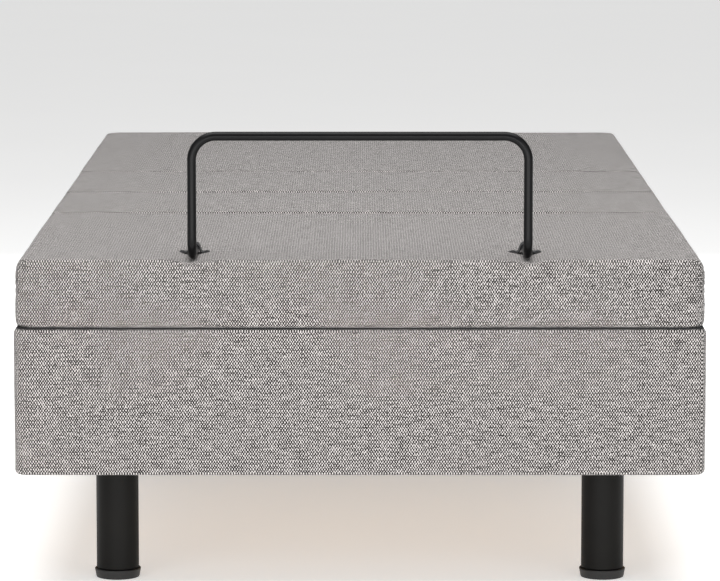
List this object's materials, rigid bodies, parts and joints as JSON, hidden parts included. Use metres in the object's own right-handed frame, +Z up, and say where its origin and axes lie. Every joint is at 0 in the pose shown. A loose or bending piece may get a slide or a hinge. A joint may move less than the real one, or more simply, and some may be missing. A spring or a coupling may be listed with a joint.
{
  "type": "adjustable bed base",
  "caption": "Adjustable bed base: an upholstered box on round legs under a folding upholstered deck, with a black retainer bar at the foot end.",
  "frame": {"origin": "on the floor, under the middle of the base", "axes": "+Z up, +Y towards the head end, +X to the right seen from the foot end"},
  "size_m": [0.95, 2.02, 0.63],
  "materials": {
    "upholstery_fabric": "matte",
    "deck_wood": "matte",
    "leg_black": "satin",
    "glide_plastic": "satin",
    "steel_painted": "satin",
    "steel_zinc": "satin",
    "bar_gloss_black": "gloss",
    "motor_plastic": "satin",
    "rod_steel": "polished",
    "electric_plastic": "matte",
    "lead_rubber": "matte"
  },
  "bodies": {
    "base": {"rail_core_left": "deck_wood", "rail_core_right": "deck_wood", "rail_core_foot": "deck_wood", "rail_core_head": "deck_wood", "box_cover_left": "upholstery_fabric", "box_cover_right": "upholstery_fabric", "box_cover_foot": "upholstery_fabric", "box_cover_head": "upholstery_fabric", "leg_member_foot": "steel_painted", "leg_member_middle": "steel_painted", "leg_member_head": "steel_painted", "leg_foot_left": "leg_black", "leg_foot_right": "leg_black", "leg_middle_left": "leg_black", "leg_middle_right": "leg_black", "leg_head_left": "leg_black", "leg_head_right": "leg_black", "glide_foot_left": "glide_plastic", "glide_foot_right": "glide_plastic", "glide_middle_left": "glide_plastic", "glide_middle_right": "glide_plastic", "glide_head_left": "glide_plastic", "glide_head_right": "glide_plastic", "back_motor_member": "steel_painted", "thigh_motor_member": "steel_painted", "seat_pad": "upholstery_fabric", "seat_board": "deck_wood", "back_hinge_leaf_seat": "steel_zinc", "thigh_hinge_leaf_seat": "steel_zinc", "control_box": "electric_plastic", "power_supply": "electric_plastic", "back_motor_lead": "lead_rubber", "thigh_motor_lead": "lead_rubber", "supply_lead": "lead_rubber"},
    "back_section": {"back_pad": "upholstery_fabric", "back_board": "deck_wood", "back_hinge_leaf_back": "steel_zinc", "back_lift_bracket": "steel_painted"},
    "thigh_section": {"thigh_pad": "upholstery_fabric", "thigh_board": "deck_wood", "thigh_hinge_leaf_thigh": "steel_zinc", "knee_hinge_leaf_thigh": "steel_zinc", "thigh_lift_bracket": "steel_painted"},
    "calf_section": {"calf_pad": "upholstery_fabric", "calf_board": "deck_wood", "knee_hinge_leaf_calf": "steel_zinc", "retainer_bar": "bar_gloss_black", "bar_strap_left": "steel_painted", "bar_strap_right": "steel_painted"},
    "back_motor": {"back_motor_housing": "motor_plastic", "back_actuator_tube": "steel_painted"},
    "back_rod": {"back_actuator_rod": "rod_steel"},
    "thigh_motor": {"thigh_motor_housing": "motor_plastic", "thigh_actuator_tube": "steel_painted"},
    "thigh_rod": {"thigh_actuator_rod": "rod_steel"}
  },
  "joints": [
    {"name": "back_lift", "type": "hinge", "parent": "base", "child": "back_section", "pos_m": [0, 0.25, 0.449], "axis": [1, 0, 0], "range_deg": [0, 60]},
    {"name": "thigh_lift", "type": "hinge", "parent": "base", "child": "thigh_section", "pos_m": [0, -0.08, 0.449], "axis": [-1, 0, 0], "range_deg": [0, 35]},
    {"name": "knee_fold", "type": "hinge", "parent": "thigh_section", "child": "calf_section", "pos_m": [0, -0.39, 0.371], "axis": [1, 0, 0], "range_deg": [0, 51.8]},
    {"name": "back_motor_swing", "type": "hinge", "parent": "base", "child": "back_motor", "pos_m": [0.11, -0.125, 0.277], "axis": [1, 0, 0], "range_deg": [0, 0.6]},
    {"name": "back_rod_slide", "type": "slide", "parent": "back_motor", "child": "back_rod", "axis": [0, 0.9909, 0.1348], "range_m": [0, 0.1305]},
    {"name": "thigh_motor_swing", "type": "hinge", "parent": "base", "child": "thigh_motor", "pos_m": [-0.11, 0.255, 0.277], "axis": [-1, 0, 0], "range_deg": [-0.75, 0]},
    {"name": "thigh_rod_slide", "type": "slide", "parent": "thigh_motor", "child": "thigh_rod", "axis": [0, -0.9902, 0.1394], "range_m": [0, 0.0783]}
  ],
  "couplings": [
    {"joint": "knee_fold", "follows": "thigh_lift", "ratio": 1.477},
    {"joint": "back_motor_swing", "follows": "back_lift", "ratio": 0.0095833},
    {"joint": "back_rod_slide", "follows": "back_lift", "m_per_rad": 0.12443},
    {"joint": "thigh_motor_swing", "follows": "thigh_lift", "ratio": -0.020771},
    {"joint": "thigh_rod_slide", "follows": "thigh_lift", "m_per_rad": 0.12785}
  ]
}
